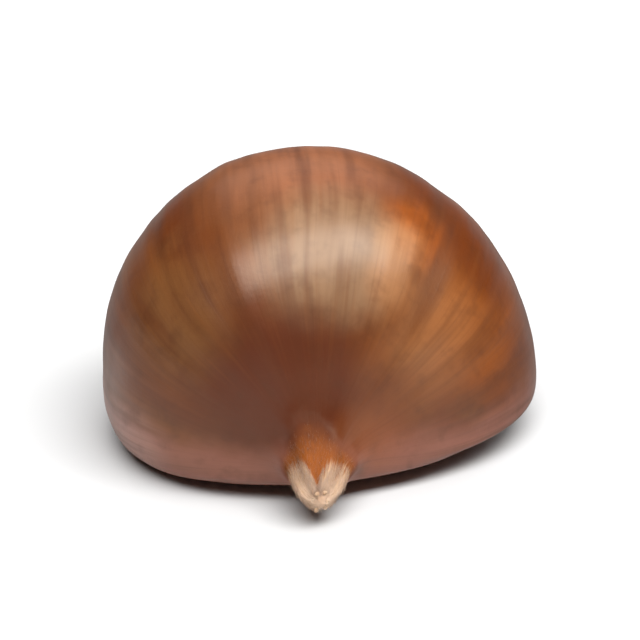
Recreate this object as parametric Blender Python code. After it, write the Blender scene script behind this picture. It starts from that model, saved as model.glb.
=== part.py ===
"""A sweet chestnut lying on its flat cheek, tip forward, as one closed solid.

The nut is a sphere whose rings are moved onto the nut's form: a domed crown over a flat cheek, a
short torch at the tip that ends in the stubs of its styles, and the broad scar at the base.
Metres, +Z up. The tip points along -Y and the width lies along X. The origin is a point of the
small flat spot that the nut rests on, straight below the middle of its widest section.
"""

import math
import random

import bmesh
import bpy
from mathutils import Euler, Matrix, Vector, noise

MM = 0.001

# Driving dimensions of the nut
WIDTH = 36.2 * MM
THICKNESS = 24.0 * MM
FRONT = 13.9 * MM  # from the widest section to the shoulder under the tip
BACK = 12.4 * MM  # from the widest section to the middle of the scar
EDGE_HEIGHT = 5.2 * MM  # of the widest line above the surface that the nut lies on
EDGE_TILT = 0.4 * MM  # that line is this much higher at -X, and lower at +X
TIP_DROP = 0.6 * MM  # the shoulder under the tip sits this far below the widest line
BASE_RISE = 2.8 * MM  # the middle of the scar sits this far above it
CREST_LEAN = 1.1 * MM  # the crown's crest leans this far towards -X
BASE_BLUNTNESS = 1.0  # 0 leaves the base a half ellipse, more makes it flatter
SIDE_SKEW = 0.06  # the side at +X lies further back than the one at -X
SIDE_CUT = 0.2  # the front is this share shorter at +X
SIDE_BLEND = 0.2  # share of the half width over which that cut sets in

# The flat cheek: how far it rises towards its rim, and the least depth of the edge round it
CHEEK_BELLY = 0.4 * MM
FRONT_LIFT = 1.8 * MM
BACK_LIFT = 2.0 * MM
SIDE_LIFT = 4.0 * MM
EDGE_DEPTH = 1.4 * MM
REST_CUT = 0.12 * MM  # shaved off the cheek's lowest place, which leaves the flat spot

# The torch at the tip and the stubs of the styles on it
TORCH_LENGTH = 4.2 * MM
TORCH_RADIUS = 2.0 * MM
TORCH_DROOP = 0.42  # it sinks this much for each unit of its length
TORCH_LOBES = 6
TORCH_LOBE_DEPTH = 0.09 * MM
STYLE_COUNT = 6
STYLE_LENGTH = 2.1 * MM
STYLE_ROOT_RADIUS = 0.5 * MM
STYLE_END_RADIUS = 0.26 * MM
STYLE_RING_RADIUS = 0.42 * MM
STYLE_SUNK = 0.9 * MM
STYLE_SPREAD = math.radians(13)
STYLE_SIDES = 6
STYLE_SEED = 4

# Lengthways ribs of the shell: how many around the nut, where they start, how high they stand
RIBS = ((9, 0.6, 0.025 * MM), (15, 2.1, 0.025 * MM), (20, 4.0, 0.02 * MM))
RIB_FULL_GIRTH = 0.7  # they have their full height where the nut has this share of its girth
RIB_REST_HEIGHT = 1.0 * MM  # they fade out below this height, so that the nut rests flat

# The scar at the base: its edge, as angles at the nut's middle from the base, and its relief
SCAR_SIDE = math.radians(45)
SCAR_TOP = math.radians(33)
SCAR_BOTTOM = math.radians(30)
SCAR_WAVES = ((9, 1.0, 0.018), (17, 2.6, 0.012))
SCAR_SINK = 0.1 * MM
SCAR_EDGE_WIDTH = 0.6 * MM
SCAR_LIP = 0.12 * MM
SCAR_BUMP = 0.2 * MM
SCAR_BUMP_SIZE = 2.4 * MM

# The sphere's rings run from the tip to the base, and lie close together on the torch and along
# the scar's edge. Each share of the rings has reached one of the angles that ring_angle lists.
SEGMENTS = 80
RINGS = 46
RING_SHARES = (0.0, 0.20, 0.34, 0.76, 0.82, 0.87, 1.0)
TORCH_ANGLE = 0.16
SHOULDER_ANGLE = 0.46
SCAR_EDGE_ANGLE = 0.05
SAME_ANGLE = 1e-6

HALF_WIDTH = WIDTH / 2
CROWN = THICKNESS - EDGE_HEIGHT + REST_CUT


def clear_scene():
    for obj in list(bpy.data.objects):
        bpy.data.objects.remove(obj, do_unlink=True)


def new_collection(name):
    collection = bpy.data.collections.new(name)
    bpy.context.scene.collection.children.link(collection)
    return collection


def new_material(name, colour, roughness):
    material = bpy.data.materials.new(name)
    material.use_nodes = True
    shader = material.node_tree.nodes["Principled BSDF"]
    shader.inputs["Base Color"].default_value = (*colour, 1.0)
    shader.inputs["Roughness"].default_value = roughness
    shader.inputs["Metallic"].default_value = 0.0
    return material


def new_object(name, shape, materials, collection):
    """Turns a finished bmesh into an object of the collection."""
    mesh = bpy.data.meshes.new(name)
    shape.to_mesh(mesh)
    shape.free()
    for material in materials:
        mesh.materials.append(material)
    obj = bpy.data.objects.new(name, mesh)
    collection.objects.link(obj)
    return obj


def interpolate(value, knots, levels):
    """The level at value, in straight lines between the knots."""
    for low, high, start, end in zip(knots, knots[1:], levels, levels[1:]):
        if value <= high:
            return start + (end - start) * (value - low) / (high - low)
    return levels[-1]


def waves(around, table):
    """Sum of cosines around the nut, from rows of count, start and height."""
    return sum(height * math.cos(count * around + start) for count, start, height in table)


def scar_edge(around):
    """Angle from the tip to the scar's edge, which reaches further sideways than up and down."""
    upright = SCAR_TOP if math.sin(around) > 0 else SCAR_BOTTOM
    reach = SCAR_SIDE * math.cos(around) ** 2 + upright * math.sin(around) ** 2
    return math.pi - reach - waves(around, SCAR_WAVES)


def ring_angle(share, around):
    """Angle from the tip of the ring at this share of the way from the tip to the base."""
    edge = scar_edge(around)
    before, after = edge - SCAR_EDGE_ANGLE, edge + SCAR_EDGE_ANGLE
    angles = (0.0, TORCH_ANGLE, SHOULDER_ANGLE, before, edge, after, math.pi)
    return interpolate(share, RING_SHARES, angles)


def place_along(reach, side):
    """Y of the surface without the torch, where reach runs from -1 at the base to 1 at the tip."""
    if reach < 0:
        return BACK * math.tanh(-reach * BASE_BLUNTNESS) / math.tanh(BASE_BLUNTNESS)
    slope = BACK * BASE_BLUNTNESS / math.tanh(BASE_BLUNTNESS)
    front = slope * reach + (FRONT - slope) * reach**3
    cut = (math.hypot(side, SIDE_BLEND) + side - SIDE_BLEND) / 2
    return -front * (1 - SIDE_CUT * cut)


def cheek_depth(edge, lift, down):
    """How far below the widest line the flat cheek lies, down being the depth of a full round."""
    room = edge - (edge - EDGE_DEPTH) * math.tanh(lift / (edge - EDGE_DEPTH))
    return room * math.tanh(down / room)


def smooth_form(polar, around):
    """A point of the nut's surface without relief, polar radians from the tip, around its axis."""
    reach, girth = math.cos(polar), math.sin(polar)
    ahead, behind = max(reach, 0.0), max(-reach, 0.0)
    side, up = girth * math.cos(around), girth * math.sin(around)
    from_axis = HALF_WIDTH * girth / TORCH_RADIUS
    torch = TORCH_LENGTH / (1 + from_axis**3) if reach > 0 else 0.0
    edge = EDGE_HEIGHT - TIP_DROP * ahead**2 + BASE_RISE * behind**2 - EDGE_TILT * side
    x = HALF_WIDTH * side
    y = place_along(reach, side) + SIDE_SKEW * x
    if up >= 0:
        x -= CREST_LEAN * up
        z = edge + CROWN * up
    else:
        lift = CHEEK_BELLY * (side**2 + (y / FRONT) ** 2) + SIDE_LIFT * max(side, 0.0) ** 2
        lift += FRONT_LIFT * ahead**4 + BACK_LIFT * behind**4
        roundness = math.exp(-(from_axis**2))
        z = edge + roundness * CROWN * up - (1 - roundness) * cheek_depth(edge, lift, -CROWN * up)
    return Vector((x, y - torch, z - TORCH_DROOP * torch - REST_CUT))


def relief(polar, around, point):
    """How far the surface stands out of the smooth form: ribs, torch lobes and the scar."""
    girth = math.sin(polar)
    inside = (polar - scar_edge(around)) * HALF_WIDTH / SCAR_EDGE_WIDTH
    scar = 0.5 + 0.5 * math.tanh(inside)
    ribs = waves(around, RIBS) * (1 - scar)
    ribs *= min(1.0, girth / RIB_FULL_GIRTH) ** 3 * min(1.0, point.z / RIB_REST_HEIGHT)
    lip = SCAR_LIP * math.exp(-((inside + 1.0) ** 2))
    bumps = SCAR_BUMP * noise.noise(point / SCAR_BUMP_SIZE) - SCAR_SINK
    lobes = 0.0
    if polar < SHOULDER_ANGLE:
        lobes = TORCH_LOBE_DEPTH * math.cos(TORCH_LOBES * around)
        lobes *= math.exp(-((HALF_WIDTH * girth / TORCH_RADIUS - 1.0) ** 2))
    return ribs + lobes + lip + scar * bumps


def make_nut(materials, collection):
    """The shell, scar and torch as one mesh, from a sphere with its poles at tip and base."""
    shape = bmesh.new()
    bmesh.ops.create_uvsphere(shape, u_segments=SEGMENTS, v_segments=RINGS, radius=1.0)
    angles = {}
    for vertex in shape.verts:
        share = math.acos(max(-1.0, min(1.0, vertex.co.z))) / math.pi
        around = math.atan2(vertex.co.y, vertex.co.x)
        angles[vertex] = (ring_angle(share, around), around)
        vertex.co = smooth_form(*angles[vertex])
    shape.normal_update()
    outward = {vertex: vertex.normal.copy() for vertex in shape.verts}
    for vertex, (polar, around) in angles.items():
        vertex.co += outward[vertex] * relief(polar, around, vertex.co)
        vertex.co.z = max(vertex.co.z, 0.0)
    for face in shape.faces:
        on_scar = all(angles[v][0] >= scar_edge(angles[v][1]) - SAME_ANGLE for v in face.verts)
        on_torch = all(angles[v][0] <= TORCH_ANGLE + SAME_ANGLE for v in face.verts)
        face.material_index = 1 if on_scar else 2 if on_torch else 0
        face.smooth = True
    return new_object("chestnut", shape, materials, collection)


def make_style(number, draw, materials, collection):
    """One dried style: a blunt tapered stub that leans outwards from the end of the torch."""
    length = STYLE_LENGTH * draw.uniform(0.8, 1.0)
    lean = STYLE_SPREAD * draw.uniform(0.7, 1.1)
    around = math.tau * (number + draw.uniform(-0.15, 0.15)) / STYLE_COUNT
    shape = bmesh.new()
    bmesh.ops.create_cone(
        shape,
        cap_ends=True,
        segments=STYLE_SIDES,
        radius1=STYLE_ROOT_RADIUS,
        radius2=STYLE_END_RADIUS,
        depth=length,
        matrix=Matrix.Translation((0, 0, length / 2 - STYLE_SUNK)),
    )
    shape.transform(Matrix.Rotation(lean, 4, "Y"))
    shape.transform(Matrix.Translation((STYLE_RING_RADIUS, 0, 0)))
    shape.transform(Matrix.Rotation(around, 4, "Z"))
    for face in shape.faces:
        face.material_index = 2
    style = new_object(f"style_{number}", shape, materials, collection)
    style.location = smooth_form(0.0, 0.0)
    style.rotation_euler = Euler((math.pi / 2, 0, 0))


def join_styles(nut, styles):
    """Fuses the stubs into the nut, so that it stays one body."""
    join = nut.modifiers.new("join_styles", "BOOLEAN")
    join.operation = "UNION"
    join.operand_type = "COLLECTION"
    join.collection = styles
    join.solver = "EXACT"
    bpy.context.view_layer.update()
    graph = bpy.context.evaluated_depsgraph_get()
    joined = bpy.data.meshes.new_from_object(nut.evaluated_get(graph))
    nut.modifiers.clear()
    nut.data = joined
    for style in list(styles.objects):
        bpy.data.objects.remove(style, do_unlink=True)
    bpy.data.collections.remove(styles)


def main():
    clear_scene()
    parts = new_collection("chestnut")
    styles = new_collection("styles")
    materials = (
        new_material("shell", (0.153, 0.047, 0.021), 0.3),
        new_material("scar", (0.25, 0.15, 0.06), 0.9),
        new_material("down", (0.72, 0.55, 0.38), 0.8),
    )
    nut = make_nut(materials, parts)
    draw = random.Random(STYLE_SEED)
    for number in range(STYLE_COUNT):
        make_style(number, draw, materials, styles)
    join_styles(nut, styles)


main()
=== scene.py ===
"""A sweet chestnut on a pale floor: ribbed waxy shell, matt scar, downy torch and dried styles.

The skin repeats the solid's form from the same named values and adds the finer relief. Metres,
+Z up. The tip points along -Y, the width lies along X, and the nut rests on its flat cheek.
"""

import logging
import math
import random
from dataclasses import dataclass, fields
from enum import Enum

import bmesh
import bpy
from mathutils import Matrix, Vector, noise


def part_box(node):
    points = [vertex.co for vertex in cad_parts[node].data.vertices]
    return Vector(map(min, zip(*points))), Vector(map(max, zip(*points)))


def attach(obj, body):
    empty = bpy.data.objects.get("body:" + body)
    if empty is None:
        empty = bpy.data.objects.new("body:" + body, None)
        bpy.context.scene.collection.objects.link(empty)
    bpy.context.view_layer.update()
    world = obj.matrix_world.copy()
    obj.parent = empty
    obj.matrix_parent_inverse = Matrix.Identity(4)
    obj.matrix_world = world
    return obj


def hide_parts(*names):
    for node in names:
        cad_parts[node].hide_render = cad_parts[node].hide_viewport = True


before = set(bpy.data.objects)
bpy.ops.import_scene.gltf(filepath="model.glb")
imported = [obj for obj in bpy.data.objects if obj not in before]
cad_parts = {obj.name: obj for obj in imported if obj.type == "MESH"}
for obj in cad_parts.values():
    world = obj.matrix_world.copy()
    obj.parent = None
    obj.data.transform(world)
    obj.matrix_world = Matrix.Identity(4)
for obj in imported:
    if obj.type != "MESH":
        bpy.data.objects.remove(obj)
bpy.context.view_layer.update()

MM = 0.001
BODY = "root"
NODE = "chestnut"
LOG = logging.getLogger("chestnut")

Socket = bpy.types.NodeSocket
Tree = bpy.types.NodeTree
Value = float | tuple[float, ...] | Socket
Pair = tuple[float, float]
Triple = tuple[float, float, float]


class Channel(Enum):
    """Values that a piece keeps at each vertex for its material."""

    GRAIN = "grain"
    SCAR = "scar_depth"
    RIB = "rib_height"
    LOBE = "torch_lobe"
    DOWN = "down_depth"
    HALO = "halo"
    SHADE = "shade"


SKIN_VALUES = (Channel.SCAR, Channel.RIB, Channel.LOBE, Channel.DOWN, Channel.HALO)


def linear(colour: str) -> tuple[float, float, float, float]:
    """Turns an sRGB colour into the linear one that a shader takes.

    Args:
        colour: Six hex digits after a #.

    Returns:
        Red, green, blue and an alpha of 1.
    """
    parts = [int(colour[i : i + 2], 16) / 255 for i in (1, 3, 5)]
    red, green, blue = (p / 12.92 if p <= 0.04045 else ((p + 0.055) / 1.055) ** 2.4 for p in parts)
    return red, green, blue, 1.0


WHITE = linear("#ffffff")


def add_node(
    tree: Tree,
    kind: str,
    inputs: dict[str | int, Value],
    output: str | None = None,
    **settings: str | float | bool,
) -> Socket | None:
    """Adds a node with its settings and links.

    Args:
        tree: Tree that the node goes into.
        kind: Type of the node, without the ShaderNode in front.
        inputs: What each input takes, by its name or number: a constant or another output.
        output: Name of the output wanted, or None for the first one in use.
        **settings: The node's own options.

    Returns:
        The output, or None for a node that has none.
    """
    node = tree.nodes.new(f"ShaderNode{kind}")
    for option, choice in settings.items():
        setattr(node, option, choice)
    for key, value in inputs.items():
        named = [s for s in node.inputs if s.enabled and s.name == key]
        socket = node.inputs[key] if isinstance(key, int) else named[0]
        if isinstance(value, Socket):
            tree.links.new(value, socket)
        else:
            socket.default_value = value
    wanted = [s for s in node.outputs if s.enabled and output in (None, s.name)]
    return wanted[0] if wanted else None


def new_material(name: str) -> tuple[bpy.types.Material, Tree]:
    """Makes an empty material.

    Args:
        name: What the real material is.

    Returns:
        The material and its node tree.
    """
    material = bpy.data.materials.new(name)
    material.use_nodes = True
    material.node_tree.nodes.clear()
    return material, material.node_tree


def new_piece(name: str, shape: bmesh.types.BMesh, material: bpy.types.Material) -> bpy.types.Object:
    """Turns a finished bmesh into a smooth piece at the origin.

    Args:
        name: Name of the piece.
        shape: Its mesh, in place.
        material: Its finish.

    Returns:
        The piece, linked to the scene.
    """
    for face in shape.faces:
        face.smooth = True
    mesh = bpy.data.meshes.new(name)
    shape.to_mesh(mesh)
    shape.free()
    mesh.materials.append(material)
    piece = bpy.data.objects.new(name, mesh)
    bpy.context.scene.collection.objects.link(piece)
    return piece


def within(point: Vector, low: Vector, high: Vector) -> list[float]:
    """Moves a point that is outside a box onto its nearest side."""
    return [min(max(point[i], low[i]), high[i]) for i in range(3)]


def waves(around: float, table: tuple[Triple, ...]) -> float:
    """Adds up cosines around the nut, from rows of count, start and height."""
    return sum(height * math.cos(count * around + start) for count, start, height in table)


def stalk(
    sides: int, radii: Pair, length: float, cuts: tuple[float, ...], bend: float
) -> bpy.types.Mesh:
    """Builds a tapered stalk that stands on its root and bends sideways.

    Args:
        sides: Number of its sides.
        radii: Its radius at the root and at the end.
        length: Its length.
        cuts: Shares of its length at which it bends.
        bend: How far its end leans, as a share of its length.

    Returns:
        Its mesh.
    """
    shape = bmesh.new()
    bmesh.ops.create_cone(
        shape,
        cap_ends=True,
        segments=sides,
        radius1=radii[0],
        radius2=radii[1],
        depth=length,
        matrix=Matrix.Translation((0, 0, length / 2)),
    )
    for share in cuts:
        geometry = [*shape.verts, *shape.edges, *shape.faces]
        bmesh.ops.bisect_plane(shape, geom=geometry, plane_co=(0, 0, share * length), plane_no=(0, 0, 1))
    for vertex in shape.verts:
        vertex.co.x += bend * length * (vertex.co.z / length) ** 2
    mesh = bpy.data.meshes.new("stalk")
    shape.to_mesh(mesh)
    shape.free()
    return mesh


@dataclass(frozen=True)
class NutForm:
    """The nut's outer form as one formula, with the same values as the solid.

    A place on it is given by polar, the angle from the tip, and around, the angle about the axis,
    which is 0 at +X and a quarter turn at the top.
    """

    width: float = 36.2 * MM
    thickness: float = 24.0 * MM
    front: float = 13.9 * MM
    back: float = 12.4 * MM
    edge_height: float = 5.2 * MM
    edge_tilt: float = 0.4 * MM
    tip_drop: float = 0.6 * MM
    base_rise: float = 2.8 * MM
    crest_lean: float = 1.1 * MM
    base_bluntness: float = 1.0
    side_skew: float = 0.06
    side_cut: float = 0.2
    side_blend: float = 0.2
    cheek_belly: float = 0.4 * MM
    front_lift: float = 1.8 * MM
    back_lift: float = 2.0 * MM
    side_lift: float = 4.0 * MM
    edge_depth: float = 1.4 * MM
    rest_cut: float = 0.12 * MM
    torch_length: float = 4.2 * MM
    torch_radius: float = 2.0 * MM
    torch_droop: float = 0.42
    torch_lobes: int = 6
    torch_lobe_depth: float = 0.09 * MM
    torch_fold: float = 0.05 * MM
    torch_plump: float = 0.26 * MM
    torch_flank: float = 0.72
    torch_flank_width: float = 0.5
    torch_full_side: float = math.radians(205)
    torch_fullness: float = 0.7
    down_reach: Triple = (2.3 * MM, 1.6 * MM, 2.1 * MM)
    down_skew: float = 0.1 * MM
    down_notch: float = 0.7 * MM
    down_notch_at: float = math.radians(102)
    down_notch_angle: float = math.radians(17)
    halo_reach: Pair = (0.8 * MM, 2.3 * MM)
    shoulder_angle: float = 0.46
    slope_step: float = 0.004
    slope_least: float = 0.001
    ribs: tuple[Triple, ...] = (
        (9, 0.6, 0.025 * MM),
        (15, 2.1, 0.025 * MM),
        (20, 4.0, 0.02 * MM),
    )
    rib_full_girth: float = 0.7
    rib_rest_height: float = 1.0 * MM
    scar_side: float = math.radians(45)
    scar_top: float = math.radians(33)
    scar_bottom: float = math.radians(30)
    scar_waves: tuple[Triple, ...] = ((9, 1.0, 0.018), (17, 2.6, 0.012))
    scar_sink: float = 0.1 * MM
    scar_edge_width: float = 0.6 * MM
    scar_lip: float = 0.12 * MM
    scar_bump: float = 0.2 * MM
    scar_bump_size: float = 2.4 * MM

    @property
    def half_width(self) -> float:
        """Half of the nut's width, which is also the unit of its polar angle."""
        return self.width / 2

    @property
    def crown(self) -> float:
        """Height of the domed cheek above the widest line."""
        return self.thickness - self.edge_height + self.rest_cut

    def torch_radii(self, polar: float) -> float:
        """Finds how far from the axis a place is, in radii of the torch."""
        return self.half_width * math.sin(polar) / self.torch_radius

    def scar_edge(self, around: float) -> float:
        """Finds the scar's edge.

        Args:
            around: Angle about the axis.

        Returns:
            Angle from the tip to the edge.
        """
        upright = self.scar_top if math.sin(around) > 0 else self.scar_bottom
        reach = self.scar_side * math.cos(around) ** 2 + upright * math.sin(around) ** 2
        return math.pi - reach - waves(around, self.scar_waves)

    def place_along(self, reach: float, side: float) -> float:
        """Finds how far along the nut a place lies, without the torch.

        Args:
            reach: Runs from -1 at the base to 1 at the tip.
            side: Runs from -1 to 1 across the nut.

        Returns:
            Its Y.
        """
        bluntness = self.base_bluntness
        if reach < 0:
            return self.back * math.tanh(-reach * bluntness) / math.tanh(bluntness)
        slope = self.back * bluntness / math.tanh(bluntness)
        front = slope * reach + (self.front - slope) * reach**3
        cut = (math.hypot(side, self.side_blend) + side - self.side_blend) / 2
        return -front * (1 - self.side_cut * cut)

    def cheek_depth(self, edge: float, lift: float, down: float) -> float:
        """Finds how far below the widest line the flat cheek lies; down is how far a round would."""
        room = edge - (edge - self.edge_depth) * math.tanh(lift / (edge - self.edge_depth))
        return room * math.tanh(down / room)

    def point(self, polar: float, around: float) -> Vector:
        """Finds a point of the surface without its relief.

        Args:
            polar: Angle from the tip.
            around: Angle about the axis.

        Returns:
            The point.
        """
        reach, girth = math.cos(polar), math.sin(polar)
        ahead, behind = max(reach, 0.0), max(-reach, 0.0)
        side, up = girth * math.cos(around), girth * math.sin(around)
        from_axis = self.torch_radii(polar)
        torch = self.torch_length / (1 + from_axis**3) if reach > 0 else 0.0
        edge = self.edge_height - self.tip_drop * ahead**2 + self.base_rise * behind**2
        edge -= self.edge_tilt * side
        x = self.half_width * side
        y = self.place_along(reach, side) + self.side_skew * x
        if up >= 0:
            x -= self.crest_lean * up
            z = edge + self.crown * up
        else:
            lift = self.cheek_belly * (side**2 + (y / self.front) ** 2)
            lift += self.side_lift * max(side, 0.0) ** 2
            lift += self.front_lift * ahead**4 + self.back_lift * behind**4
            roundness = math.exp(-(from_axis**2))
            depth = self.cheek_depth(edge, lift, -self.crown * up)
            z = edge + roundness * self.crown * up - (1 - roundness) * depth
        return Vector((x, y - torch, z - self.torch_droop * torch - self.rest_cut))

    def scar_depth(self, polar: float, around: float) -> float:
        """Finds how far inside the scar's edge a place lies, which is less than 0 outside it."""
        return (polar - self.scar_edge(around)) * self.half_width

    def down_edge(self, around: float) -> float:
        """Finds how far from the axis the cream down of the torch ends.

        Args:
            around: Angle about the axis.

        Returns:
            The distance, which is greatest sideways and least in the notch at the top.
        """
        side, top, bottom = self.down_reach
        upright = top if math.sin(around) > 0 else bottom
        reach = upright + (side - upright) * math.cos(around) ** 2 - self.notch(around)
        return reach - self.down_skew * math.cos(around)

    def notch(self, around: float) -> float:
        """Finds how deep the notch at the top of the cream down is."""
        away = around % math.tau - self.down_notch_at
        return self.down_notch * math.exp(-((away / self.down_notch_angle) ** 2))

    def down_depth(self, polar: float, around: float) -> float:
        """Finds how far inside the cream down's edge a place lies, which is less than 0 outside it."""
        girth = math.sin(min(polar, 0.5 * math.pi))
        return self.down_edge(around) - self.half_width * girth

    def halo_width(self, around: float) -> float:
        """Finds how wide the fawn halo beside the cream down is, which is widest at the notch."""
        least, most = self.halo_reach
        facing = max(0.0, math.cos(around - self.down_notch_at))
        return least + (most - least) * facing**6 + self.notch(around)

    def halo(self, polar: float, around: float) -> float:
        """Finds how far a place is in the halo: 1 beside the cream down, less than 0 outside it."""
        return 1.0 + min(0.0, self.down_depth(polar, around)) / self.halo_width(around)

    def fade(self, polar: float, point: Vector) -> float:
        """Finds a rib's share of its full height, which is 0 at the poles and where the nut rests."""
        girth = min(1.0, math.sin(polar) / self.rib_full_girth) ** 3
        return girth * min(1.0, point.z / self.rib_rest_height)

    def relief(self, polar: float, around: float, point: Vector) -> float:
        """Finds how far the solid's surface stands out of the smooth form.

        Args:
            polar: Angle from the tip.
            around: Angle about the axis.
            point: The place on the smooth form.

        Returns:
            The height of ribs, torch lobes and scar.
        """
        inside = self.scar_depth(polar, around) / self.scar_edge_width
        scar = 0.5 + 0.5 * math.tanh(inside)
        ribs = waves(around, self.ribs) * (1 - scar) * self.fade(polar, point)
        lip = self.scar_lip * math.exp(-((inside + 1.0) ** 2))
        bumps = self.scar_bump * noise.noise(point / self.scar_bump_size) - self.scar_sink
        lobes = self.torch_lobe_depth * self.lobe(polar, around)
        return ribs + lobes + lip + scar * bumps

    def lobe(self, polar: float, around: float) -> float:
        """Finds how far a place is on a lobe of the torch.

        Args:
            polar: Angle from the tip.
            around: Angle about the axis.

        Returns:
            1 on a lobe, -1 between two, and 0 away from the torch.
        """
        if polar > self.shoulder_angle:
            return 0.0
        away = self.torch_radii(polar) - 1.0
        return math.cos(self.torch_lobes * around) * math.exp(-(away**2))

    def plump(self, polar: float, around: float) -> float:
        """Finds how far the felt of the torch stands above the solid.

        Args:
            polar: Angle from the tip.
            around: Angle about the axis.

        Returns:
            Its height, which is greatest on the torch's flanks, its lobes and its full side.
        """
        if polar > self.shoulder_angle:
            return 0.0
        away = self.torch_radii(polar) - self.torch_flank
        flank = math.exp(-((away / self.torch_flank_width) ** 2))
        flank *= 1.0 + self.torch_fullness * self.full_side(around)
        return self.torch_plump * flank + self.torch_fold * self.lobe(polar, around)

    def full_side(self, around: float) -> float:
        """Finds how far a place faces the torch's full side, from 0 to 1."""
        return max(0.0, math.cos(around - self.torch_full_side)) ** 2

    def axis(self) -> Vector:
        """Finds which way the torch points."""
        return Vector((0.0, -1.0, -self.torch_droop)).normalized()

    def outward(self, polar: float, around: float) -> Vector:
        """Finds the direction straight out of the surface.

        Args:
            polar: Angle from the tip.
            around: Angle about the axis.

        Returns:
            The direction.
        """
        step = self.slope_step
        ahead = self.point(max(polar - step, self.slope_least), around) - self.point(polar + step, around)
        aside = self.point(polar, around + step) - self.point(polar, around - step)
        return aside.cross(ahead).normalized()


@dataclass(frozen=True)
class Layer:
    """What one kind of surface gives the skin's shader.

    Attributes:
        colour: Its colour.
        roughness: Its roughness.
        wax: Weight of the waxy coat on it.
        height: Its fine relief, in millimetres.
    """

    colour: Socket
    roughness: Socket
    wax: Value
    height: Socket

    def under(self, tree: Tree, top: "Layer", mask: Socket) -> "Layer":
        """Lays another kind of surface over this one.

        Args:
            tree: The material's tree.
            top: The other surface.
            mask: 1 where the other surface shows.

        Returns:
            Both together.
        """
        mixed = []
        for field in fields(self):
            inputs = {"Factor": mask, "A": getattr(self, field.name), "B": getattr(top, field.name)}
            kind = "RGBA" if field.name == "colour" else "FLOAT"
            mixed.append(add_node(tree, "Mix", inputs, data_type=kind))
        return Layer(*mixed)


@dataclass(frozen=True)
class SkinPatterns:
    """Coordinates and values that all layers of the skin read.

    Attributes:
        tree: The material's tree.
        place: Object coordinates in millimetres.
        grain: Coordinates that follow the shell's lengthways fibres, in millimetres.
        scar: Millimetres inside the scar's edge.
        rib: Height of the ribs, from -1 to 1.
        lobe: 1 on a lobe of the torch, -1 between two.
        down: Millimetres inside the edge of the torch's cream down.
        halo: 1 beside the cream down, 0 where the halo ends.
    """

    tree: Tree
    place: Socket
    grain: Socket
    scar: Socket
    rib: Socket
    lobe: Socket
    down: Socket
    halo: Socket

    @classmethod
    def read(cls, tree: Tree) -> "SkinPatterns":
        """Adds the nodes that read the skin's coordinates.

        Args:
            tree: The material's tree.

        Returns:
            The patterns.
        """
        metres = add_node(tree, "TexCoord", {}, output="Object")
        place = add_node(tree, "VectorMath", {0: metres, "Scale": 1 / MM}, operation="SCALE")
        grain = add_node(tree, "Attribute", {}, "Vector", attribute_name=Channel.GRAIN.value)
        values = [
            add_node(tree, "Attribute", {}, "Fac", attribute_name=channel.value) for channel in SKIN_VALUES
        ]
        return cls(tree, place, grain, *values)

    def clouds(self, size: float, detail: float = 2.0, offset: float = 0.0) -> Socket:
        """Adds an even pattern with blotches of a size in millimetres, and another for each offset."""
        moved = add_node(self.tree, "VectorMath", {0: self.place, 1: (offset,) * 3})
        return add_node(self.tree, "TexNoise", {"Vector": moved, "Scale": 1 / size, "Detail": detail})

    def streaks(self, width: float, length: float, detail: float = 2.0, offset: float = 0.0) -> Socket:
        """Adds streaks that run from tip to base.

        Args:
            width: Width of a streak, in millimetres.
            length: Its length, in millimetres.
            detail: Number of finer sizes in it.
            offset: Shift of the pattern, which makes it another one.

        Returns:
            Its value, about 0.5 in the middle.
        """
        scale = (1 / width, 1 / width, 1 / length)
        inputs = {"Vector": self.grain, "Scale": scale, "Location": (offset,) * 3}
        moved = add_node(self.tree, "Mapping", inputs)
        return add_node(self.tree, "TexNoise", {"Vector": moved, "Scale": 1.0, "Detail": detail})

    def near(self, place: Triple, core: float, reach: float) -> Socket:
        """Adds a soft-edged area around a place.

        Args:
            place: The middle of the area, in millimetres.
            core: Radius in which it is full, in millimetres.
            reach: Radius at which it has faded out, in millimetres.

        Returns:
            1 in the core and 0 outside.
        """
        away = add_node(self.tree, "VectorMath", {0: self.place, 1: place}, operation="DISTANCE")
        ragged = self.clouds(3.0, detail=3.0, offset=place[0])
        return self.between(self.stack((ragged, 0.5 * core), base=away), reach, core)

    def below(self, high: float, low: float) -> Socket:
        """Adds a soft-edged band along the foot of the nut.

        Args:
            high: Height at which the band ends, in millimetres.
            low: Height below which it is full.

        Returns:
            1 below and 0 above.
        """
        height = add_node(self.tree, "SeparateXYZ", {0: self.place}, "Z")
        ragged = self.clouds(4.0, detail=3.0, offset=71.0)
        loose = self.stack((ragged, high - low), base=height)
        return self.between(loose, 1.5 * high - 0.5 * low, 0.5 * (high + low))

    def between(self, value: Socket, low: float, high: float, most: float = 1.0) -> Socket:
        """Turns a stretch of a value's range into a mask, which is 0 at low and most at high."""
        inputs = {"Value": value, "From Min": low, "From Max": high, "To Max": most}
        return add_node(self.tree, "MapRange", inputs, interpolation_type="SMOOTHSTEP")

    def stack(self, *parts: tuple[Value, Value], base: Value = 0.0) -> Value:
        """Adds up patterns.

        Args:
            *parts: Pairs of a pattern and its weight.
            base: What they are added to.

        Returns:
            The sum.
        """
        for pattern, weight in parts:
            inputs = {0: pattern, 1: weight, 2: base}
            base = add_node(self.tree, "Math", inputs, operation="MULTIPLY_ADD")
        return base

    def paint(self, ground: str, *coats: tuple[Value, str]) -> Value:
        """Lays colours over one another.

        Args:
            ground: The lowest colour.
            *coats: Pairs of a mask and the colour that shows there.

        Returns:
            The colour of them all.
        """
        colour: Value = linear(ground)
        for mask, coat in coats:
            inputs = {"Factor": mask, "A": colour, "B": linear(coat)}
            colour = add_node(self.tree, "Mix", inputs, data_type="RGBA")
        return colour


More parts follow.
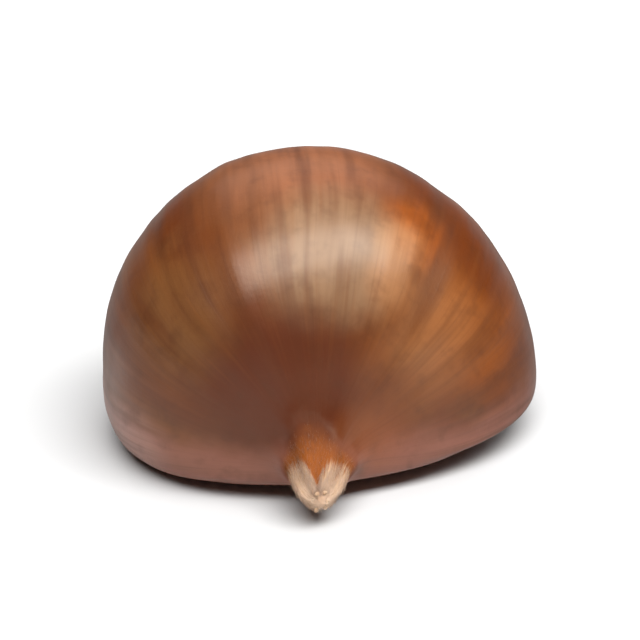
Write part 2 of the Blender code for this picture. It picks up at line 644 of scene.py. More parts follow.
@dataclass(frozen=True)
class ShellFinish:
    """Fresh chestnut shell: a smooth woody skin that grew with a thin natural wax on it.

    The eye sees lengthways fibres as darker and lighter brown streaks, a broad soft gloss broken by
    them, and a paler, duller fawn where the shell meets the torch. Some of its colour is painted
    light: a painted highlight under the gloss, painted reflections of the floor along the foot and
    beside the torch, painted sheen on the top, and painted shade below the highlight, down the right
    side and in the rib grooves.
    """

    mahogany: str = "#5f2d10"
    stripe: str = "#47210d"
    russet: str = "#74401b"
    amber: str = "#86430a"
    # Painted shade down the right side: a darker amber.
    right_side_shade: str = "#612b08"
    orange: str = "#93480e"
    # Painted reflection: a lighter copper patch right of the torch.
    copper_reflection: str = "#84441f"
    # Painted highlight: a paler peach at the right end of the gloss.
    painted_highlight_end: str = "#ab784c"
    # Paler salmon skin on the top of the crown, partly painted sheen from the light above.
    salmon_and_sheen: str = "#8d5433"
    # Paler tan skin right of the highlight; its small patch at the highlight's lower corner is painted
    # highlight.
    tan: str = "#a56f45"
    # Painted highlight: a greyish cream laid where the strip light's gloss falls.
    painted_highlight: str = "#88694c"
    olive: str = "#684022"
    moss: str = "#75502c"
    # Darker red-brown skin, deepened as painted shade below the highlight.
    liver_and_shade: str = "#4d1c06"
    # Painted reflection of the white floor: a rose band along the foot.
    rose_floor_reflection: str = "#8a5648"
    # Painted reflection of the floor, paler on the foot's left.
    pale_rose: str = "#a67c70"
    fawn: str = "#85430c"
    roughness: Pair = (0.34, 0.46)
    wax: float = 0.2

    def layer(self, skin: SkinPatterns) -> Layer:
        """Adds the shell's nodes.

        Args:
            skin: The skin's coordinates.

        Returns:
            The shell's colour, roughness, wax and height.
        """
        broad = skin.streaks(1.8, 16.0, offset=31.0)
        thin = skin.streaks(0.8, 10.0, detail=1.5, offset=7.0)
        wide = skin.streaks(8.0, 24.0, offset=17.0)
        # Fibres are finer than the render can show, so they are drawn 0.35 mm wide.
        fibre = skin.streaks(0.35, 9.0, offset=23.0)
        blotch = skin.clouds(4.5, detail=4.0, offset=3.0)
        flecks = skin.clouds(1.3, detail=3.0, offset=5.0)
        mottle = skin.clouds(2.2, detail=3.0, offset=13.0)
        # The streaks lie closer together towards the torch, where they fade from sight.
        front = skin.near((0.0, -17.0, 3.6), 9.0, 20.0)
        back = skin.near((0.0, 16.0, 12.0), 10.0, 24.0)
        calm = skin.stack((back, 0.25), (front, -0.36), base=0.38)
        dark = skin.stack((skin.between(broad, 0.62, 0.3), calm))
        groove = skin.between(skin.rib, 0.1, -0.8)
        ragged = skin.stack((skin.clouds(0.7, detail=3.0, offset=9.0), 0.5), base=skin.halo)
        colour = skin.paint(
            self.mahogany,
            (skin.between(wide, 0.36, 0.66), self.russet),
            (skin.between(blotch, 0.45, 0.75, 0.5), self.olive),
            *self.zones(skin, skin.stack((front, 0.5), base=broad)),
            (dark, self.stripe),
            (skin.between(mottle, 0.5, 0.72, 0.3), self.stripe),
            (skin.stack((skin.between(thin, 0.5, 0.75, 0.6), calm)), self.russet),
            (skin.between(flecks, 0.5, 0.8, 0.2), self.stripe),
            # Darker in the rib grooves: painted shade.
            (skin.between(groove, 0.0, 1.0, 0.2), self.stripe),
            (skin.between(ragged, 0.3, 1.2), self.fawn),
            (skin.between(fibre, 0.45, 0.75, 0.16), self.stripe),
        )
        dull = skin.between(ragged, -0.1, 0.5)
        low, high = self.roughness
        patches = skin.clouds(4.0, detail=5.0, offset=11.0)
        inputs = {"Value": patches, "From Min": 0.3, "From Max": 0.7, "To Min": low, "To Max": high}
        roughness = add_node(skin.tree, "MapRange", inputs)
        roughness = skin.stack((groove, 0.08), (dark, 0.08), (dull, 0.45), base=roughness)
        pores = skin.clouds(0.35, offset=29.0)
        height = skin.stack((skin.stack((fibre, calm)), 0.03), (broad, 0.03), (pores, 0.008))
        wax = skin.between(dull, 1.0, 0.0, self.wax)
        return Layer(colour, roughness, wax, height)

    def zones(self, skin: SkinPatterns, streaks: Value) -> list[tuple[Value, str]]:
        """Adds the areas that have a colour of their own, and areas of painted highlight, reflection,
        sheen and shade, all broken up along the streaks.

        Args:
            skin: The skin's coordinates.
            streaks: The streaks' value.

        Returns:
            Pairs of an area's mask and its colour.
        """
        areas = (
            # Top of the crown: paler skin with painted sheen from the light above.
            (self.salmon_and_sheen, skin.near((-2.0, 1.0, 24.0), 4.0, 12.0), 0.8),
            (self.amber, skin.near((13.5, -5.5, 12.0), 3.0, 9.0), 0.75),
            # Painted shade down the right side of the nut.
            (self.right_side_shade, skin.near((17.5, -2.5, 8.0), 1.0, 6.0), 0.7),
            (self.right_side_shade, skin.near((10.5, 0.5, 20.0), 4.0, 7.5), 0.9),
            (self.right_side_shade, skin.near((13.5, -1.0, 16.5), 3.0, 7.0), 0.9),
            (self.orange, skin.near((8.0, -4.5, 20.0), 2.0, 5.0), 0.85),
            # Darker red-brown low on the front, partly painted shade.
            (self.liver_and_shade, skin.near((-3.0, -13.0, 10.0), 5.0, 12.0), 0.9),
            (self.moss, skin.near((-12.0, -10.0, 15.5), 3.0, 8.0), 0.5),
            # Paler tan skin right of and below the highlight.
            (self.tan, skin.near((10.0, -9.0, 13.5), 2.0, 7.0), 0.35),
            # Painted highlight on the crown, under the gloss.
            (self.painted_highlight, skin.near((1.0, -8.0, 19.8), 5.0, 9.0), 0.7),
            # Painted highlight at the right end of the gloss.
            (self.painted_highlight_end, skin.near((6.8, -6.3, 20.0), 1.0, 3.8), 0.5),
            # Painted reflection of the white floor along the foot.
            (self.rose_floor_reflection, skin.below(6.5, 3.5), 0.75),
            # Painted floor reflection, paler at the foot's left.
            (self.pale_rose, skin.near((-15.5, -9.5, 3.3), 1.0, 5.0), 0.6),
            # Painted reflection beside the torch.
            (self.copper_reflection, skin.near((4.5, -13.5, 5.5), 1.0, 5.0), 0.5),
            # Painted shade below the highlight and low on the right front.
            (self.liver_and_shade, skin.near((-0.5, -12.2, 15.0), 1.5, 4.0), 0.5),
            (self.liver_and_shade, skin.near((5.6, -12.2, 9.0), 1.0, 4.0), 0.3),
            # Painted highlight at the lower right corner of the gloss.
            (self.tan, skin.near((5.6, -8.8, 17.8), 0.8, 3.2), 0.5),
        )
        shown = [skin.between(streaks, 0.1, 0.5, most) for _, _, most in areas]
        return [(skin.stack((area, share)), colour) for (colour, area, _), share in zip(areas, shown)]


@dataclass(frozen=True)
class ScarFinish:
    """The scar where the nut grew from its cup: bare corky tissue, dry and matt.

    The eye sees no gloss, a tan ground with an olive cast, darker grains and pale flecks.
    """

    tan: str = "#ab8556"
    olive: str = "#86693f"
    dark: str = "#553b24"
    pale: str = "#c2a276"
    rim: str = "#b07c3e"
    roughness: float = 0.85

    def layer(self, skin: SkinPatterns) -> Layer:
        """Adds the scar's nodes.

        Args:
            skin: The skin's coordinates.

        Returns:
            The scar's colour, roughness, wax and height.
        """
        wide = skin.clouds(4.0, detail=4.0, offset=41.0)
        grains = skin.clouds(0.9, detail=4.0, offset=43.0)
        flecks = skin.clouds(0.5, offset=47.0)
        rays = skin.streaks(2.0, 7.0, detail=3.0, offset=73.0)
        speck = skin.stack((skin.between(skin.scar, 0.8, 4.5), 0.07), base=grains)
        ochre = skin.stack((wide, 3.0), base=skin.scar)
        colour = skin.paint(
            self.olive,
            (skin.between(wide, 0.35, 0.65), self.tan),
            (skin.between(rays, 0.42, 0.7, 0.55), self.olive),
            (skin.between(speck, 0.55, 0.74, 0.8), self.dark),
            (skin.between(flecks, 0.6, 0.72, 0.6), self.pale),
            (skin.between(ochre, 4.0, 1.0, 0.8), self.rim),
        )
        roughness = skin.stack((grains, 0.1), base=self.roughness)
        height = skin.stack((grains, -0.12), (flecks, 0.05), (wide, 0.1), (rays, 0.12))
        return Layer(colour, roughness, 0.0, height)


@dataclass(frozen=True)
class TorchFinish:
    """The torch at the tip: the dried end of the flower, felted with short silky hairs.

    The eye sees a soft cream with no gloss, browner in the grooves between the lobes.
    """

    cream: str = "#d6b492"
    tan: str = "#94592a"
    roughness: float = 0.75

    def layer(self, skin: SkinPatterns) -> Layer:
        """Adds the torch's nodes.

        Args:
            skin: The skin's coordinates.

        Returns:
            The torch's colour, roughness, wax and height.
        """
        felt = skin.streaks(0.5, 3.0, detail=3.0, offset=53.0)
        loose = skin.stack((felt, 0.8), (skin.lobe, 0.1), (skin.down, 0.2))
        colour = skin.paint(self.tan, (skin.between(loose, 0.25, 0.6), self.cream))
        roughness = skin.stack((felt, 0.15), base=self.roughness)
        return Layer(colour, roughness, 0.0, skin.stack((felt, 0.12)))


@dataclass(frozen=True)
class SkinFinish:
    """The whole skin of the nut: shell, scar and torch in one material."""

    shell: ShellFinish = ShellFinish()
    scar: ScarFinish = ScarFinish()
    torch: TorchFinish = TorchFinish()
    ior: float = 1.47
    gloss: str = "#fff1da"
    wax_ior: float = 1.45
    wax_roughness: float = 0.24

    def material(self) -> bpy.types.Material:
        """Builds the material."""
        material, tree = new_material("chestnut_shell_waxed_with_scar_and_down")
        skin = SkinPatterns.read(tree)
        ragged = skin.stack((skin.clouds(0.9, detail=3.0, offset=61.0), 1.2), base=skin.scar)
        loose = skin.stack((skin.streaks(0.8, 4.0, offset=67.0), 1.0), base=skin.down)
        layer = self.shell.layer(skin)
        layer = layer.under(tree, self.scar.layer(skin), skin.between(ragged, 0.35, 0.85))
        layer = layer.under(tree, self.torch.layer(skin), skin.between(loose, 0.3, 0.9))
        shader = add_node(
            tree,
            "BsdfPrincipled",
            {
                "Base Color": layer.colour,
                "Roughness": layer.roughness,
                "IOR": self.ior,
                "Specular Tint": linear(self.gloss),
                "Coat Weight": layer.wax,
                "Coat Roughness": self.wax_roughness,
                "Coat IOR": self.wax_ior,
                "Normal": add_node(tree, "Bump", {"Height": layer.height, "Distance": MM}),
            },
        )
        add_node(tree, "OutputMaterial", {"Surface": shader})
        return material


@dataclass(frozen=True)
class NutSkin:
    """The nut's whole outside: the solid's form with the finer ribs, dents and grains on it."""

    form: NutForm
    finish: SkinFinish = SkinFinish()
    segments: int = 360
    rings: int = 254
    ring_shares: tuple[float, ...] = (0.0, 0.16, 0.30, 0.72, 0.76, 0.80, 1.0)
    torch_angle: float = 0.16
    scar_edge_angle: float = 0.05
    fine_ribs: tuple[Triple, ...] = (
        (31, 0.3, 0.014 * MM),
        (43, 1.9, 0.011 * MM),
        (58, 4.4, 0.008 * MM),
    )
    fine_full_girth: float = 0.95
    strength: float = 0.7
    strength_swing: float = 0.9
    strength_size: float = 14.3 * MM
    strength_shift: Triple = (5.0, 0.0, 0.0)
    wander: float = 0.05
    wander_size: float = 11.0 * MM
    dents: tuple[Pair, ...] = ((0.03 * MM, 6.0 * MM), (0.012 * MM, 2.4 * MM))
    grain_bump: float = 0.07 * MM
    grain_bump_size: float = 0.8 * MM
    rib_unit: float = 0.15 * MM
    clearance: float = 0.04 * MM

    def ring_angle(self, share: float, around: float) -> float:
        """Finds where a ring of the mesh lies, with rings close on the torch and the scar's edge.

        Args:
            share: The ring's share of the way from tip to base.
            around: Angle about the axis.

        Returns:
            Angle from the tip.
        """
        edge = self.form.scar_edge(around)
        before, after = edge - self.scar_edge_angle, edge + self.scar_edge_angle
        shoulder = self.form.shoulder_angle
        angles = (0.0, self.torch_angle, shoulder, before, edge, after, math.pi)
        shares = self.ring_shares
        for low, high, start, end in zip(shares, shares[1:], angles, angles[1:]):
            if share <= high:
                return start + (end - start) * (share - low) / (high - low)
        return math.pi

    def wandered(self, around: float, point: Vector) -> float:
        """Finds the angle about the axis that the fibres follow, as they aren't quite straight."""
        return around + self.wander * noise.noise(point / self.wander_size)

    def fine_relief(self, polar: float, around: float, point: Vector) -> Pair:
        """Finds the relief that the solid doesn't have.

        Args:
            polar: Angle from the tip.
            around: Angle about the axis.
            point: The place on the smooth form.

        Returns:
            The height of all of it, and the height of the ribs alone from -1 to 1.
        """
        form = self.form
        scar = 0.5 + 0.5 * math.tanh(form.scar_depth(polar, around) / form.scar_edge_width)
        shifted = point / self.strength_size + Vector(self.strength_shift)
        strength = self.strength + self.strength_swing * noise.noise(shifted)
        strength *= min(1.0, math.sin(polar) / self.fine_full_girth) ** 4
        fade = form.fade(polar, point)
        ribs = waves(self.wandered(around, point), self.fine_ribs) * strength * fade
        dents = sum(height * noise.noise(point / size) for height, size in self.dents)
        grains = self.grain_bump * noise.noise(point / self.grain_bump_size)
        shell = (ribs + dents) * (1 - scar) + grains * scar + form.plump(polar, around)
        both = ribs + waves(around, form.ribs) * fade
        return shell - self.clearance, both / self.rib_unit

    def build(self) -> bpy.types.Object:
        """Builds the skin from a sphere with its poles at tip and base.

        Returns:
            The piece, in place.
        """
        shape = bmesh.new()
        grain = shape.verts.layers.float_vector.new(Channel.GRAIN.value)
        layers = [shape.verts.layers.float.new(channel.value) for channel in SKIN_VALUES]
        bmesh.ops.create_uvsphere(shape, u_segments=self.segments, v_segments=self.rings, radius=1.0)
        form = self.form
        angles = []
        for vertex in shape.verts:
            share = math.acos(max(-1.0, min(1.0, vertex.co.z))) / math.pi
            around = math.atan2(vertex.co.y, vertex.co.x)
            polar = self.ring_angle(share, around)
            vertex.co = form.point(polar, around)
            angles.append((vertex, polar, around))
        shape.normal_update()
        outward = [vertex.normal.copy() for vertex, _, _ in angles]
        low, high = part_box(NODE)
        radius = form.half_width / MM
        for (vertex, polar, around), normal in zip(angles, outward):
            point = vertex.co.copy()
            fine, ribs = self.fine_relief(polar, around, point)
            bent = self.wandered(around, point)
            vertex[grain] = (radius * math.cos(bent), radius * math.sin(bent), radius * polar)
            values = (
                form.scar_depth(polar, around) / MM,
                ribs,
                form.lobe(polar, around),
                form.down_depth(polar, around) / MM,
                form.halo(polar, around),
            )
            for layer, value in zip(layers, values):
                vertex[layer] = value
            moved = point + normal * (form.relief(polar, around, point) + fine)
            vertex.co = within(moved, low, high)
        skin = new_piece("shell_skin", shape, self.finish.material())
        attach(skin, BODY)
        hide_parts(NODE)
        return skin


@dataclass(frozen=True)
class DriedFinish:
    """Dried plant tissue, with a tone kept at each vertex and a fine mottle on it.

    Attributes:
        name: What the real material is.
        first: Its colour at tone 0.
        last: Its colour at tone 1.
        roughness: Its roughness.
        mottle: How far the mottle moves the tone.
        mottle_size: Size of the mottle.
        wrinkle: Height of the mottle as relief.
        sheen: Weight of the sheen that fine hairs have.
        sheen_roughness: Roughness of that sheen.
    """

    name: str
    first: str
    last: str
    roughness: float
    mottle: float
    mottle_size: float
    wrinkle: float = 0.0
    sheen: float = 0.0
    sheen_roughness: float = 0.4

    def material(self) -> bpy.types.Material:
        """Builds the material."""
        material, tree = new_material(self.name)
        shade = add_node(tree, "Attribute", {}, "Fac", attribute_name=Channel.SHADE.value)
        metres = add_node(tree, "TexCoord", {}, output="Object")
        mottle = add_node(tree, "TexNoise", {"Vector": metres, "Scale": 1 / self.mottle_size})
        tone = add_node(tree, "Math", {0: mottle, 1: self.mottle, 2: shade}, operation="MULTIPLY_ADD")
        colours = {"Factor": tone, "A": linear(self.first), "B": linear(self.last)}
        rough = {0: mottle, 1: 0.2, 2: self.roughness - 0.1}
        inputs = {
            "Base Color": add_node(tree, "Mix", colours, data_type="RGBA"),
            "Roughness": add_node(tree, "Math", rough, operation="MULTIPLY_ADD"),
        }
        if self.sheen:
            inputs |= {"Sheen Weight": self.sheen, "Sheen Roughness": self.sheen_roughness}
        if self.wrinkle:
            inputs["Normal"] = add_node(tree, "Bump", {"Height": mottle, "Distance": self.wrinkle})
        add_node(tree, "OutputMaterial", {"Surface": add_node(tree, "BsdfPrincipled", inputs)})
        return material


@dataclass(frozen=True)
class HairFinish(DriedFinish):
    """Silky plant hairs, dried on the nut: pale, fine and slightly lustrous.

    The eye sees cream to tan strands with a soft sheen along them. The change of tone along a hair
    is finer than the render can show, so it is 0.4 mm long.
    """

    name: str = "silky_plant_hair"
    first: str = "#7e4718"
    last: str = "#fde0c4"
    roughness: float = 0.55
    mottle: float = 0.3
    mottle_size: float = 0.4 * MM
    sheen: float = 0.2


@dataclass(frozen=True)
class Down:
    """Short silky hairs that lie along the torch and thin out over the shell around it."""

    form: NutForm
    finish: HairFinish = HairFinish()
    torch_hairs: int = 3200
    halo_hairs: int = 1600
    torch_length: Pair = (0.6 * MM, 1.3 * MM)
    halo_length: Pair = (0.25 * MM, 0.6 * MM)
    radii: Pair = (0.014, 0.0042)
    cuts: Pair = (0.35, 0.7)
    bends: tuple[float, ...] = (-0.18, -0.08, 0.06, 0.2)
    torch_roots: Pair = (0.08, 1.05)
    lift: Pair = (math.radians(2), math.radians(10))
    brush: float = 0.5
    sunk: float = 0.05 * MM
    stride: float = 0.01
    nearest: float = 0.002
    sway: float = math.radians(12)
    brown_from: float = 0.12
    brown_tones: Pair = (-0.3, 0.0)
    # Both pairs say what holds at the edge of the cream down, and its rise per millimetre inwards.
    end_tone: Pair = (0.38, 0.4)
    edge_fade: Pair = (0.55, 0.45)
    end_scatter: float = 0.1
    # Painted shade: hairs on the torch's full side are darker.
    full_side_shade: float = 0.12
    root_share: float = 0.8
    root_rise: float = 1.5
    seed: int = 7

    def root(self, draw: random.Random, number: int) -> Pair:
        """Draws where a hair grows.

        Args:
            draw: Source of chance.
            number: The hair's number.

        Returns:
            Its angle from the tip and its angle about the axis.
        """
        around = draw.uniform(0, math.tau)
        edge = self.form.down_edge(around)
        if number < self.torch_hairs:
            away = edge * draw.uniform(*self.torch_roots)
        else:
            away = edge + self.form.halo_width(around) * min(draw.random(), draw.random())
        return math.asin(away / self.form.half_width), around

    def build(self) -> bpy.types.Object:
        """Builds all hairs as one piece.

        Returns:
            The piece, in place.
        """
        draw = random.Random(self.seed)
        strands = [stalk(3, self.radii, 1.0, self.cuts, bend) for bend in self.bends]
        low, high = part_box(NODE)
        shape = bmesh.new()
        tone = shape.verts.layers.float.new(Channel.SHADE.value)
        for number in range(self.torch_hairs + self.halo_hairs):
            polar, around = self.root(draw, number)
            start = len(shape.verts)
            shape.from_mesh(draw.choice(strands))
            shape.verts.ensure_lookup_table()
            on_torch = number < self.torch_hairs
            length = draw.uniform(*(self.torch_length if on_torch else self.halo_length))
            brush = self.brush if on_torch else 0.0
            place = self.placing(draw, polar, around, length, brush)
            root, end = self.shades(draw, polar, around)
            for vertex in shape.verts[start:]:
                vertex[tone] = root + (end - root) * vertex.co.z
                vertex.co = within(place @ vertex.co, low, high)
        for strand in strands:
            bpy.data.meshes.remove(strand)
        down = new_piece("down", shape, self.finish.material())
        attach(down, BODY)
        return down

    def shades(self, draw: random.Random, polar: float, around: float) -> Pair:
        """Draws how pale a hair is at its root and at its end.

        Args:
            draw: Source of chance.
            polar: Angle from the tip to its root.
            around: Angle about the axis.

        Returns:
            Both tones. Roots near the edge of the cream down are as brown as the halo's hairs.
        """
        inside = self.form.down_depth(polar, around) / MM
        if inside < -self.brown_from:
            shade = draw.uniform(*self.brown_tones)
            return shade, shade
        tone, rise = self.end_tone
        share, growth = self.edge_fade
        end = (tone + rise * inside) * min(1.0, share + growth * inside)
        end += draw.uniform(-self.end_scatter, self.end_scatter)
        # Painted shade: hairs on the full side are darker.
        end -= self.full_side_shade * self.form.full_side(around)
        return min(self.root_share * end, self.root_rise * inside), end

    def surface(self, polar: float, around: float) -> Vector:
        """Finds a point of the skin under the hairs.

        Args:
            polar: Angle from the tip.
            around: Angle about the axis.

        Returns:
            The point, with its felt.
        """
        point = self.form.point(polar, around)
        height = self.form.relief(polar, around, point) + self.form.plump(polar, around)
        return point + self.form.outward(polar, around) * height

    def walk(self, polar: float, around: float, length: float) -> float:
        """Goes a hair's length along the surface towards the tip.

        Args:
            polar: Angle from the tip to start at.
            around: Angle about the axis.
            length: How far to go.

        Returns:
            Angle from the tip to the place that is reached.
        """
        point = self.form.point(polar, around)
        while length > 0 and polar > self.nearest:
            polar -= min(self.stride, 0.5 * polar)
            ahead = self.form.point(polar, around)
            length -= (ahead - point).length
            point = ahead
        return polar

    def placing(
        self, draw: random.Random, polar: float, around: float, length: float, brush: float
    ) -> Matrix:
        """Draws how a hair lies on the surface.

        Args:
            draw: Source of chance.
            polar: Angle from the tip to its root.
            around: Angle about the axis.
            length: The hair's length.
            brush: How strongly it turns the way that the torch points.

        Returns:
            The matrix that takes the unit hair there.
        """
        outward = self.form.outward(polar, around)
        point = self.surface(polar, around)
        ahead = (self.surface(self.walk(polar, around, length), around) - point).normalized()
        point -= outward * self.sunk
        lift = draw.uniform(*self.lift)
        swayed = Matrix.Rotation(draw.gauss(0, self.sway), 3, outward) @ ahead
        along = swayed * math.cos(lift) + outward * math.sin(lift)
        along = (along + brush * self.form.axis()).normalized()
        aside = outward.cross(along).normalized()
        turned = Matrix((aside, along.cross(aside), along)).transposed().to_4x4()
        return Matrix.Translation(point) @ turned @ Matrix.Scale(length, 4)


@dataclass(frozen=True)
class StyleFinish(DriedFinish):
    """Dried styles of the flower: brittle, dull, straw brown.

    The eye sees thin curled stubs, darker at their broken ends. Their wrinkles are drawn 0.15 mm
    apart, which is about as coarse as they are.
    """

    name: str = "dried_flower_style"
    first: str = "#d6b493"
    last: str = "#6d4729"
    roughness: float = 0.7
    mottle: float = 0.5
    mottle_size: float = 0.15 * MM
    wrinkle: float = 0.03 * MM


@dataclass(frozen=True)
class Styles:
    """The broken dried styles that stand in a ring on the end of the torch."""

    form: NutForm
    finish: StyleFinish = StyleFinish()
    count: int = 6
    length: float = 1.8 * MM
    lengths: Pair = (0.75, 1.0)
    sunk: float = 1.0 * MM
    sides: int = 7
    radii: Pair = (0.32 * MM, 0.16 * MM)
    cuts: Triple = (0.25, 0.5, 0.75)
    ring_radius: float = 0.46 * MM
    stray: float = 0.2
    lean: float = math.radians(18)
    leans: Pair = (0.6, 1.1)
    curl: float = 0.16
    curls: Pair = (-0.6, 1.4)
    end_tone: float = 0.5
    seed: int = 4

    def build(self) -> bpy.types.Object:
        """Builds the ring of styles.

        Returns:
            The piece, in place.
        """
        draw = random.Random(self.seed)
        low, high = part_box(NODE)
        shape = bmesh.new()
        tone = shape.verts.layers.float.new(Channel.SHADE.value)
        for number in range(self.count):
            start = len(shape.verts)
            place = self.add_style(shape, draw, number)
            shape.verts.ensure_lookup_table()
            for vertex in shape.verts[start:]:
                vertex.co = place @ vertex.co
                share = (low.y + self.length - vertex.co.y) / self.length
                vertex[tone] = self.end_tone * max(0.0, share) ** 2
                vertex.co = within(vertex.co, low, high)
        styles = new_piece("styles", shape, self.finish.material())
        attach(styles, BODY)
        return styles

    def add_style(self, shape: bmesh.types.BMesh, draw: random.Random, number: int) -> Matrix:
        """Adds one style, which curls outwards, and draws how it stands.

        Args:
            shape: The mesh that it goes into.
            draw: Source of chance.
            number: Its number in the ring.

        Returns:
            The matrix that takes it to its place in the ring.
        """
        length = self.length * draw.uniform(*self.lengths)
        around = math.tau * (number + draw.uniform(-self.stray, self.stray)) / self.count
        curl = self.curl * draw.uniform(*self.curls)
        style = stalk(self.sides, self.radii, length, self.cuts, curl)
        shape.from_mesh(style)
        bpy.data.meshes.remove(style)
        return (
            Matrix.Translation(self.form.point(0.0, 0.0))
            @ Matrix.Rotation(math.pi / 2, 4, "X")
            @ Matrix.Rotation(around, 4, "Z")
            @ Matrix.Translation((self.ring_radius, 0, 0))
            @ Matrix.Rotation(self.lean * draw.uniform(*self.leans), 4, "Y")
            @ Matrix.Translation((0, 0, -self.sunk))
        )


@dataclass(frozen=True)
class Floor:
    """The plain pale surface that the nut lies on, lit evenly as far as the eye reaches."""

    radius: float = 4.0
    albedo: float = 0.55
    glow: float = 1.0
    glow_from: float = 0.12
    glow_full: float = 0.9
    dimmed: float = 0.35
    dimmed_towards: Triple = (0.34, 0.94, 0.0)
    dimmed_from: float = -10 * MM
    dimmed_full: float = 10 * MM

    def build(self) -> bpy.types.Object:
        """Builds the floor.

        Returns:
            The floor.
        """
        shape = bmesh.new()
        bmesh.ops.create_circle(shape, cap_ends=True, segments=128, radius=self.radius)
        floor = new_piece("pale_floor", shape, self.material())
        return floor

    def material(self) -> bpy.types.Material:
        """Builds matt white card that glows faintly far from the nut, as an even backdrop does.

        Behind the nut and at its right the card lights the nut less than it shows, which keeps a
        white veil off the nut's sides.

        Returns:
            The material.
        """
        material, tree = new_material("matt_white_card")
        place = add_node(tree, "TexCoord", {}, output="Object")
        away = add_node(tree, "VectorMath", {0: place}, operation="LENGTH")
        inputs = {"Value": away, "From Min": self.glow_from, "From Max": self.glow_full, "To Max": self.glow}
        glow = add_node(tree, "MapRange", inputs, interpolation_type="SMOOTHSTEP")
        seen = add_node(tree, "LightPath", {}, "Is Camera Ray")
        glow = add_node(tree, "Math", {0: glow, 1: seen}, operation="MULTIPLY")
        along = add_node(tree, "VectorMath", {0: place, 1: self.dimmed_towards}, operation="DOT_PRODUCT")
        inputs = {"Value": along, "From Min": self.dimmed_from, "From Max": self.dimmed_full}
        inputs |= {"To Min": 1.0, "To Max": self.dimmed}
        dimmed = add_node(tree, "MapRange", inputs, interpolation_type="SMOOTHSTEP")
        share = add_node(tree, "Mix", {"Factor": seen, "A": dimmed, "B": 1.0})
        card = {0: (self.albedo,) * 3, "Scale": share}
        colour = add_node(tree, "VectorMath", card, operation="SCALE")
        shader = add_node(
            tree,
            "BsdfPrincipled",
            {
                "Base Color": colour,
                "Roughness": 0.9,
                "Emission Color": WHITE,
                "Emission Strength": glow,
            },
        )
        add_node(tree, "OutputMaterial", {"Surface": shader})
        return material


@dataclass(frozen=True)
class SoftBox:
    """A rectangular soft light that faces the nut.

    Attributes:
        name: Its name.
        azimuth: Direction it stands in, in degrees, 0 being the camera's side.
        elevation: Its height above the floor, in degrees.
        distance: Metres from the nut.
        width: Its level side.
        height: Its other side.
        power: Watts.
        mirrored: Whether glossy surfaces show it.
    """

    name: str
    azimuth: float
    elevation: float
    distance: float
    width: float
    height: float
    power: float
    mirrored: bool = True

    def build(self) -> bpy.types.Object:
        """Builds the light.

        Returns:
            The light, turned to the nut.
        """
        around, above = math.radians(self.azimuth), math.radians(self.elevation)
        towards = Vector(
            (math.sin(around) * math.cos(above), -math.cos(around) * math.cos(above), math.sin(above))
        )
        data = bpy.data.lights.new(self.name, "AREA")
        data.shape = "RECTANGLE"
        data.size = self.width
        data.size_y = self.height
        data.energy = self.power
        light = bpy.data.objects.new(self.name, data)
        light.location = towards * self.distance
        light.rotation_euler = towards.to_track_quat("Z", "Y").to_euler()
        light.visible_camera = False
        light.visible_glossy = self.mirrored
        bpy.context.scene.collection.objects.link(light)
        return light


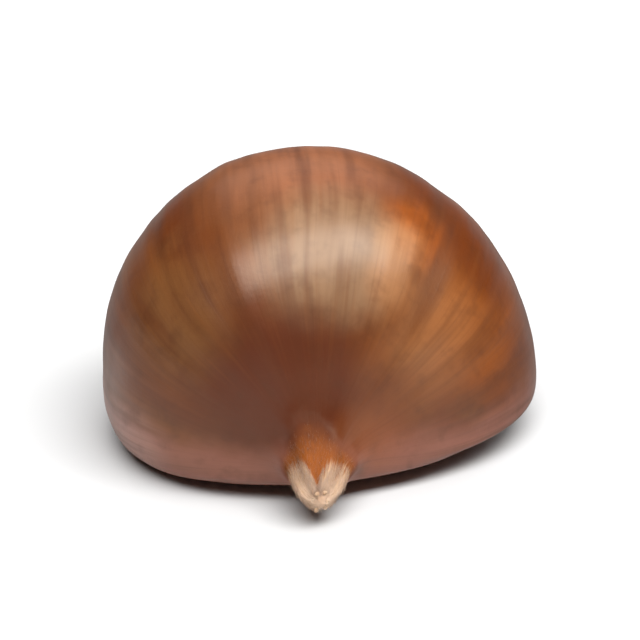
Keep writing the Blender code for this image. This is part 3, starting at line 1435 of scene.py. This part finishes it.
@dataclass(frozen=True)
class Studio:
    """The soft light around the nut and the white behind it."""

    lights: tuple[SoftBox, ...] = (
        SoftBox("strip_softbox", 22.0, 66.0, 0.9, 1.2, 0.45, 17.5),
        SoftBox("side_softbox", 78.0, 46.0, 0.9, 0.36, 0.36, 1.2),
        SoftBox("back_panel", 180.0, 40.0, 1.2, 1.2, 1.0, 2.6),
        SoftBox("top_panel", 180.0, 58.0, 1.3, 2.0, 1.6, 14.0, mirrored=False),
    )
    dim: float = 0.015
    white: float = 1.1

    def build(self) -> None:
        """Builds the lights and the world."""
        for light in self.lights:
            light.build()
        world = bpy.data.worlds.new("pale_room")
        world.use_nodes = True
        tree = world.node_tree
        tree.nodes.clear()
        seen = add_node(tree, "LightPath", {}, "Is Camera Ray")
        strength = add_node(tree, "Mix", {"Factor": seen, "A": self.dim, "B": self.white})
        background = add_node(tree, "Background", {"Color": WHITE, "Strength": strength})
        add_node(tree, "OutputWorld", {"Surface": background})
        bpy.context.scene.world = world
        bpy.context.scene.view_settings.view_transform = "Standard"


@dataclass(frozen=True)
class PhotoCamera:
    """The camera, at the photograph's viewing angle.

    Attributes:
        elevation: How far above level it looks from, in degrees.
        distance: Metres from the target.
        target: The point that the angle and distance are measured to.
        target_pixel: Where that point is in the photograph.
        pixels_per_metre: Scale of the photograph there.
        frame_pixel: Middle of the square of the photograph that the render shows.
        frame_side: Side of that square, in the photograph's pixels.
    """

    elevation: float = 27.0
    distance: float = 0.55
    target: Triple = (0.0, 0.0, 9.0 * MM)
    target_pixel: Pair = (226.4, 428.1)
    pixels_per_metre: float = 4516.0
    frame_pixel: Pair = (226.4, 425.0)
    frame_side: float = 240.0
    sensor: float = 36.0

    def build(self) -> bpy.types.Object:
        """Builds the camera and makes it the scene's.

        Returns:
            The camera.
        """
        above = math.radians(self.elevation)
        back = Vector((0.0, -math.cos(above), math.sin(above)))
        upward = Vector((0.0, math.sin(above), math.cos(above)))
        across = Vector((1.0, 0.0, 0.0))
        reach = self.pixels_per_metre * self.distance
        right = (self.frame_pixel[0] - self.target_pixel[0]) / reach
        down = (self.frame_pixel[1] - self.target_pixel[1]) / reach
        aim = -back + across * right - upward * down
        data = bpy.data.cameras.new("photo_camera")
        data.sensor_width = self.sensor
        data.lens = self.sensor * reach / self.frame_side
        data.clip_start = 0.01
        data.clip_end = 20.0
        data.dof.use_dof = False
        camera = bpy.data.objects.new("photo_camera", data)
        camera.location = Vector(self.target) + back * self.distance
        camera.rotation_euler = aim.to_track_quat("-Z", "Y").to_euler()
        bpy.context.scene.collection.objects.link(camera)
        bpy.context.scene.camera = camera
        return camera


def main() -> None:
    """Builds the camera, the studio and the nut, and reports each piece."""
    logging.basicConfig(level=logging.INFO, format="%(name)s: %(message)s")
    PhotoCamera().build()
    Studio().build()
    Floor().build()
    form = NutForm()
    for part in (NutSkin(form), Down(form), Styles(form)):
        piece = part.build()
        LOG.info("%s has %d faces", piece.name, len(piece.data.polygons))


if __name__ == "__main__":
    main()
